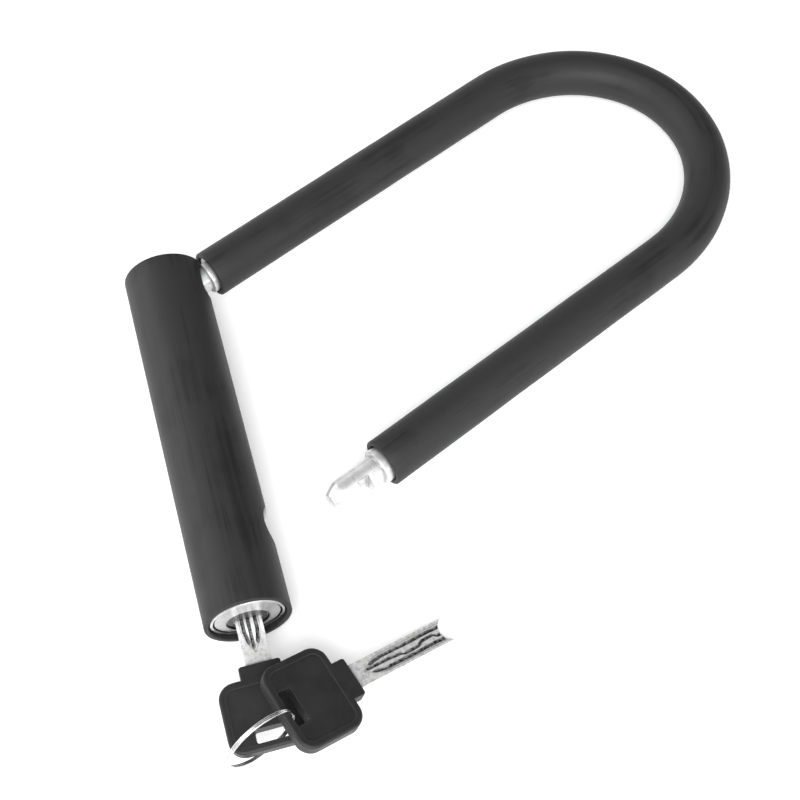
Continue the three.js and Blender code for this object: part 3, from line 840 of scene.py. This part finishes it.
def pocket_outline(steps=10):
    """A long pocket with a pointed-arch start, open at the blade's tip."""
    half = POCKET_WIDTH / 2
    point = POCKET_POINT / 2
    far = -BLADE_LENGTH - POCKET_OVERRUN
    run = POCKET_FULL - POCKET_START
    upper = []
    for i in range(steps + 1):
        share = i / steps
        lift = math.sin(math.pi / 2 * share)
        upper.append((POCKET_START + run * share, point + (half - point) * lift))
    lower = [(x, -y) for x, y in reversed(upper)]
    return upper + [(far, half), (far, -half)] + lower


def wave(along):
    """The wavy track's sideways place, from -1 to 1, at a distance from the collar."""
    level = WAVE_FIRST
    turns = [turn for turn, _ in WAVE_COURSE]
    ends = turns[1:] + [turns[-1] + WAVE_LAST_RUN]
    for (turn, goal), end in zip(WAVE_COURSE, ends):
        if along > turn:
            share = min(1, (along - turn) / (end - turn))
            level += (goal - level) * (3 - 2 * share) * share * share
    return level


def track(name, lane, side):
    """A round-bottomed groove's cutter; its start leans in towards the pocket's point."""
    start, end = lane["start"], -BLADE_LENGTH - TRACK_OVERRUN
    points = []
    radii = []
    for i in range(TRACK_STEPS + 1):
        along = start + (end - start) * i / TRACK_STEPS
        spread = min(1, TRACK_START + (1 - TRACK_START) * (start - along) / TRACK_RISE)
        across = lane["offset"] * spread + lane["swing"] * wave(-along) * side
        points.append(Vector((along, across, BLADE_THICKNESS / 2 * side)))
        radii.append(lane["radius"] * min(1, 0.5 + i / 5))
    stations = path_stations(points, radii)
    return swept(name, stations, 16, MATERIALS["groove"], Matrix.Identity(4))


def make_blade(name, node, body, place):
    """A flat blank with a long pocket on each side, and tracks milled inside it."""
    material = MATERIALS["nickel"]
    home = Matrix.Identity(4)
    blade = plate_mesh(name, blade_outline(), BLADE_THICKNESS, home, material, BLADE_EDGE, 2)
    tools = []
    for side in (1, -1):
        face = Matrix.Translation((0, 0, side * BLADE_THICKNESS / 2 * MM))
        pocket = plate_mesh(
            f"{name}_pocket_{side}", pocket_outline(), 2 * POCKET_DEPTH, face, material
        )
        tools.append(pocket)
        for i, lane in enumerate(LANES):
            tools.append(track(f"{name}_track_{side}_{i}", lane, side))
    combine(blade, tools)
    smooth(blade.data, 30)
    flat_shading_kept(blade)
    blade.data.transform(place)
    stands_for(blade, node, body)


def head_body(name, place, material):
    """The head's rounded block, joined to the collar that the blade leaves by."""
    outline = rounded_outline(HEAD_LENGTH, HEAD_WIDTH, HEAD_CORNER, (HEAD_MIDDLE, 0))
    head = plate_mesh(name, outline, HEAD_THICKNESS, place, material, HEAD_EDGE, 5)
    length = COLLAR_LENGTH + COLLAR_OVERLAP
    outline = rounded_outline(length, COLLAR_WIDTH, COLLAR_CORNER, (length / 2, 0), 4)
    collar = plate_mesh(f"{name}_collar", outline, COLLAR_THICKNESS, place, material, COLLAR_EDGE)
    combine(head, [collar], "UNION")
    return head


def head_cutters(name, place, material):
    """Cutters for the ring's slot, the tang's socket and the sunk panel on each face."""
    slot_x = COLLAR_LENGTH + HEAD_LENGTH - SLOT_FROM_END - SLOT_LENGTH / 2
    slot = rounded_outline(SLOT_LENGTH, SLOT_WIDTH, SLOT_CORNER, (slot_x, 0))
    socket_x = COLLAR_LENGTH - 0.4
    socket = rounded_outline(2 * TANG_LENGTH, TANG_WIDTH + SOCKET_PLAY, 0.2, (socket_x, 0))
    panel = rounded_outline(
        HEAD_LENGTH - 2 * PANEL_BORDER,
        HEAD_WIDTH - 2 * PANEL_BORDER,
        HEAD_CORNER - PANEL_BORDER,
        (HEAD_MIDDLE, 0),
    )
    tools = [
        plate_mesh(f"{name}_slot", slot, 12, place, material),
        plate_mesh(f"{name}_socket", socket, BLADE_THICKNESS + SOCKET_PLAY, place, material),
    ]
    for side in (1, -1):
        sunk = place @ Matrix.Translation((0, 0, side * HEAD_THICKNESS / 2 * MM))
        tools.append(plate_mesh(f"{name}_panel_{side}", panel, 2 * PANEL_DEPTH, sunk, material))
    return tools


def make_head(name, node, body, place):
    """A moulded head: block, collar, ring slot, raised border round a sunk panel."""
    material = MATERIALS["head_plastic"]
    shift = Matrix.Translation((BLADE_GAP * MM, 0, 0))
    head = head_body(name, shift, material)
    combine(head, head_cutters(name, shift, material))
    soften(head, HEAD_SOFT_EDGE * MM)
    flat_shading_kept(head)
    head.data.transform(place)
    stands_for(head, node, body)


# ---------------------------------------------------------------- split ring


def ring_frame():
    """The ring's frame: its centre, with z along its axis."""
    joint = joints["ring_turn"]
    axis = Vector(joint["axis"]).normalized()
    level = Vector((-axis.y, axis.x, 0)).normalized()
    turn = Matrix((level, axis.cross(level), axis)).transposed().to_4x4()
    return Matrix.Translation(joint["pos_m"]) @ turn


def make_ring(steps=180):
    """Flat wire wound twice, with the turns side by side and the ends filed thin."""
    section = rounded_outline(RING_WIRE, RING_WIRE * 0.98, RING_CORNER, (0, 0), 4)
    bm = bmesh.new()
    rows = []
    for i in range(steps + 1):
        share = i / steps
        angle = 2 * math.pi * RING_TURNS * share
        lift = (share - 0.5) * RING_PITCH
        thin = min(1, RING_END + 12 * share, RING_END + 12 * (1 - share))
        out = Vector((math.cos(angle), math.sin(angle), 0))
        row = []
        for a, b in section:
            point = out * (RING_RADIUS + a * thin) + Vector((0, 0, lift + b * thin))
            row.append(bm.verts.new(point * MM))
        rows.append(row)
    count = len(section)
    for here, there in zip(rows, rows[1:]):
        for k in range(count):
            bm.faces.new((here[k], there[k], there[(k + 1) % count], here[(k + 1) % count]))
    bm.faces.new(rows[0])
    bm.faces.new(list(reversed(rows[-1])))
    mesh = take_mesh(bm, "split_ring", ring_frame())
    smooth(mesh, 50)
    ring = new_object("split_ring", mesh, MATERIALS["ring"])
    stands_for(ring, "key_ring", "ring")


# ---------------------------------------------------------------- CAD pieces that stay


def dress_cad_nodes():
    looks = {item["node"]: item["material_slot"] for item in frame["record"]["subparts"]}
    looks["plug"] = "plug"
    for name, item in frame["nodes"].items():
        material = MATERIALS[looks[name]]
        item.data.materials.clear()
        item.data.materials.append(material)
        smooth(item.data, 32)


# ---------------------------------------------------------------- stage


# Each lamp's name, place, size in metres and power in watts.
LAMPS = (
    ("main", (0.85, -0.35, 1.0), (0.9, 0.9), 18),
    ("side", (-0.55, -0.95, 0.45), (0.9, 0.5), 4),
    ("back", (1.2, 0.45, 0.5), (0.9, 0.5), 4),
)
WORLD_STRENGTH = 1.1
# Unlit parts of the studio, each a direction, where it starts and ends, and the light left:
# the ceiling that upper surfaces mirror, and the far wall beyond the shackle.
DARK_SIDES = (
    ((-0.46, 0.13, 0.877), 0.74, 0.97, 0.12),
    ((-0.30, 0.90, 0.25), 0.60, 0.92, 0.05),
)

CAMERA_AZIMUTH = math.radians(74.07)
CAMERA_ELEVATION = math.radians(61.32)
CAMERA_DISTANCE = 0.5244
CAMERA_TARGET = LOCK.translation + Vector((67.57, 73.55, -15)) * MM
CAMERA_LENS = 63.32
CAMERA_SENSOR = 36


def make_floor(half=3.0):
    bm = bmesh.new()
    corners = ((-half, -half), (half, -half), (half, half), (-half, half))
    bm.faces.new([bm.verts.new((x, y, 0)) for x, y in corners])
    floor = new_object("floor", take_mesh(bm, "floor", Matrix.Identity(4)), floor_material())


def add_light(name, location, size, power):
    """A rectangular lamp that faces the object."""
    light = bpy.data.lights.new(name, "AREA")
    light.shape = "RECTANGLE"
    light.size, light.size_y = size
    light.energy = power
    item = bpy.data.objects.new(name, light)
    bpy.context.scene.collection.objects.link(item)
    item.location = location
    item.rotation_euler = (-Vector(location)).to_track_quat("-Z", "Y").to_euler()


def make_lights():
    for lamp in LAMPS:
        add_light(*lamp)


def make_world():
    """An even glow, dimmed towards each dark side."""
    world = bpy.data.worlds.new("studio")
    world.use_nodes = True
    tree = world.node_tree
    backdrop = tree.nodes["Background"]
    direction = tree.nodes.new("ShaderNodeTexCoord")
    strength = tree.nodes.new("ShaderNodeMath")
    strength.operation = "MULTIPLY"
    strength.inputs[0].default_value = WORLD_STRENGTH
    strength.inputs[1].default_value = 1
    for towards, start, end, share in DARK_SIDES:
        match = tree.nodes.new("ShaderNodeVectorMath")
        match.operation = "DOT_PRODUCT"
        match.inputs[1].default_value = Vector(towards).normalized()
        shade = tree.nodes.new("ShaderNodeMapRange")
        shade.interpolation_type = "SMOOTHSTEP"
        shade.inputs["From Min"].default_value = start
        shade.inputs["From Max"].default_value = end
        shade.inputs["To Min"].default_value = 1
        shade.inputs["To Max"].default_value = share
        product = tree.nodes.new("ShaderNodeMath")
        product.operation = "MULTIPLY"
        tree.links.new(direction.outputs["Generated"], match.inputs[0])
        tree.links.new(match.outputs["Value"], shade.inputs["Value"])
        tree.links.new(strength.outputs["Value"], product.inputs[0])
        tree.links.new(shade.outputs["Result"], product.inputs[1])
        strength = product
    tree.links.new(strength.outputs["Value"], backdrop.inputs["Strength"])
    backdrop.inputs["Color"].default_value = (1, 1, 1, 1)
    bpy.context.scene.world = world


def make_camera():
    level = math.cos(CAMERA_ELEVATION)
    x, y = math.sin(CAMERA_AZIMUTH) * level, -math.cos(CAMERA_AZIMUTH) * level
    back = Vector((x, y, math.sin(CAMERA_ELEVATION)))
    data = bpy.data.cameras.new("camera")
    data.lens = CAMERA_LENS
    data.sensor_width = CAMERA_SENSOR
    camera = bpy.data.objects.new("camera", data)
    bpy.context.scene.collection.objects.link(camera)
    camera.location = CAMERA_TARGET + back * CAMERA_DISTANCE
    camera.rotation_euler = back.to_track_quat("Z", "Y").to_euler()
    bpy.context.scene.camera = camera


def main():
    dress_cad_nodes()
    make_crossbar_cover()
    make_sleeve()
    make_rod()
    for body, place in (("key", key_frame()), ("spare_key", spare_frame())):
        make_blade(f"nickel_{body}_blade", f"{body}_blade", body, place)
        make_head(f"moulded_{body}_head", f"{body}_head", body, place)
    make_ring()
    make_floor()
    make_lights()
    make_world()
    make_camera()
    bpy.context.scene.view_settings.view_transform = "Standard"


main()
